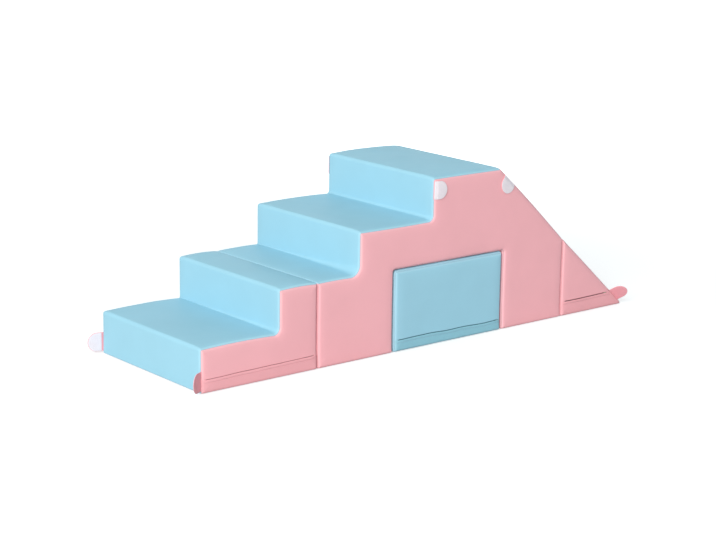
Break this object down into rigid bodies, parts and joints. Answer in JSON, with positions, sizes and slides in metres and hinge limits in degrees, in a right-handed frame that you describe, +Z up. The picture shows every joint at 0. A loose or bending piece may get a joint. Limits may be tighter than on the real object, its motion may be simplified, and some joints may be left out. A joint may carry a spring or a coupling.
{
  "type": "soft play foam climber",
  "caption": "Soft play climber of covered foam blocks in a row: steps, a platform over a tunnel with its filler block, and a slope.",
  "frame": {"origin": "on the floor, at the middle of the footprint, tabs included", "axes": "+X along the row from the steps to the slope, +Y to the far side, +Z up"},
  "size_m": [1.6908, 0.5594, 0.5],
  "materials": {
    "pink_cover": "satin",
    "blue_cover": "satin",
    "white_hook_and_loop": "matte",
    "foam": "matte",
    "pink_zip_tape": "matte",
    "blue_zip_tape": "matte",
    "pink_zip_teeth": "satin",
    "blue_zip_teeth": "satin",
    "zip_slider": "satin"
  },
  "bodies": {
    "bridge_block": {"bridge_foam": "foam", "bridge_near_side": "pink_cover", "bridge_far_side": "pink_cover", "bridge_tread_cover": "blue_cover", "bridge_slope_panel": "pink_cover", "bridge_right_panel": "pink_cover", "bridge_right_foot": "pink_cover", "bridge_tunnel_lining": "pink_cover", "bridge_left_foot": "pink_cover", "bridge_left_panel": "pink_cover", "bridge_left_band": "pink_cover", "bridge_zip_tape": "pink_zip_tape", "bridge_zip_teeth": "pink_zip_teeth"},
    "stair_block": {"stair_foam": "foam", "stair_near_side": "pink_cover", "stair_near_band": "pink_cover", "stair_far_side": "pink_cover", "stair_tread_cover": "blue_cover", "stair_end_panel": "pink_cover", "stair_base_panel": "pink_cover", "stair_zip_tape": "pink_zip_tape", "stair_zip_teeth": "pink_zip_teeth"},
    "filler_block": {"filler_foam": "foam", "filler_near_side": "blue_cover", "filler_near_band": "blue_cover", "filler_far_side": "blue_cover", "filler_wrap": "blue_cover", "filler_base_panel": "blue_cover", "filler_zip_tape": "blue_zip_tape", "filler_zip_teeth": "blue_zip_teeth"},
    "wedge_block": {"wedge_foam": "foam", "wedge_near_side": "pink_cover", "wedge_near_band": "pink_cover", "wedge_far_side": "pink_cover", "wedge_slope_panel": "pink_cover", "wedge_end_panel": "pink_cover", "wedge_base_panel": "pink_cover", "wedge_zip_tape": "pink_zip_tape", "wedge_zip_teeth": "pink_zip_teeth"},
    "bridge_slider": {"bridge_zip_slider": "zip_slider"},
    "stair_slider": {"stair_zip_slider": "zip_slider"},
    "filler_slider": {"filler_zip_slider": "zip_slider"},
    "wedge_slider": {"wedge_zip_slider": "zip_slider"},
    "stair_near_tab": {"stair_tab_near_strap": "pink_cover", "stair_tab_near_pad": "white_hook_and_loop"},
    "stair_far_tab": {"stair_tab_far_strap": "pink_cover", "stair_tab_far_pad": "white_hook_and_loop"},
    "bridge_riser_near_tab": {"bridge_riser_tab_near_strap": "pink_cover", "bridge_riser_tab_near_pad": "white_hook_and_loop"},
    "bridge_riser_far_tab": {"bridge_riser_tab_far_strap": "pink_cover", "bridge_riser_tab_far_pad": "white_hook_and_loop"},
    "bridge_slope_near_tab": {"bridge_slope_tab_near_strap": "pink_cover", "bridge_slope_tab_near_pad": "white_hook_and_loop"},
    "bridge_slope_far_tab": {"bridge_slope_tab_far_strap": "pink_cover", "bridge_slope_tab_far_pad": "white_hook_and_loop"},
    "wedge_near_tab": {"wedge_tab_near_strap": "pink_cover", "wedge_tab_near_pad": "white_hook_and_loop"},
    "wedge_far_tab": {"wedge_tab_far_strap": "pink_cover", "wedge_tab_far_pad": "white_hook_and_loop"}
  },
  "joints": [
    {"name": "stair_block_slide", "type": "slide", "parent": "bridge_block", "child": "stair_block", "axis": [-1, 0, 0], "range_m": [0, 0.5]},
    {"name": "wedge_block_slide", "type": "slide", "parent": "bridge_block", "child": "wedge_block", "axis": [1, 0, 0], "range_m": [0, 0.5]},
    {"name": "filler_block_slide", "type": "slide", "parent": "bridge_block", "child": "filler_block", "axis": [0, -1, 0], "range_m": [-0.56, 0.56]},
    {"name": "stair_zip", "type": "slide", "parent": "stair_block", "child": "stair_slider", "axis": [-1, 0, 0], "range_m": [0, 0.322]},
    {"name": "filler_zip", "type": "slide", "parent": "filler_block", "child": "filler_slider", "axis": [-1, 0, 0], "range_m": [0, 0.349]},
    {"name": "wedge_zip", "type": "slide", "parent": "wedge_block", "child": "wedge_slider", "axis": [-1, 0, 0], "range_m": [0, 0.135]},
    {"name": "bridge_zip", "type": "slide", "parent": "bridge_block", "child": "bridge_slider", "axis": [0, 1, 0], "range_m": [0, 0.423]},
    {"name": "stair_near_tab_swing", "type": "hinge", "parent": "stair_block", "child": "stair_near_tab", "pos_m": [-0.79871, -0.24593, 0.035], "axis": [0, 0, -1], "range_deg": [-115, 75]},
    {"name": "stair_far_tab_swing", "type": "hinge", "parent": "stair_block", "child": "stair_far_tab", "pos_m": [-0.79871, 0.24593, 0.035], "axis": [0, 0, 1], "range_deg": [-128, 62]},
    {"name": "bridge_riser_near_tab_swing", "type": "hinge", "parent": "bridge_block", "child": "bridge_riser_near_tab", "pos_m": [0.02589, -0.24593, 0.465], "axis": [0, 0, -1], "range_deg": [0, 180]},
    {"name": "bridge_riser_far_tab_swing", "type": "hinge", "parent": "bridge_block", "child": "bridge_riser_far_tab", "pos_m": [0.02589, 0.24593, 0.465], "axis": [0, 0, 1], "range_deg": [0, 180]},
    {"name": "bridge_slope_near_tab_swing", "type": "hinge", "parent": "bridge_block", "child": "bridge_slope_near_tab", "pos_m": [0.32992, -0.24593, 0.46384], "axis": [-0.7411, 0, 0.6713], "range_deg": [0, 180]},
    {"name": "bridge_slope_far_tab_swing", "type": "hinge", "parent": "bridge_block", "child": "bridge_slope_far_tab", "pos_m": [0.32992, 0.24593, 0.46384], "axis": [0.7411, 0, -0.6713], "range_deg": [0, 180]},
    {"name": "wedge_near_tab_swing", "type": "hinge", "parent": "wedge_block", "child": "wedge_near_tab", "pos_m": [0.81213, -0.24593, 0.03383], "axis": [-0.7506, 0, 0.6608], "range_deg": [-70, 92]},
    {"name": "wedge_far_tab_swing", "type": "hinge", "parent": "wedge_block", "child": "wedge_far_tab", "pos_m": [0.81213, 0.24593, 0.03383], "axis": [0.7506, 0, -0.6608], "range_deg": [-70, 92]}
  ]
}
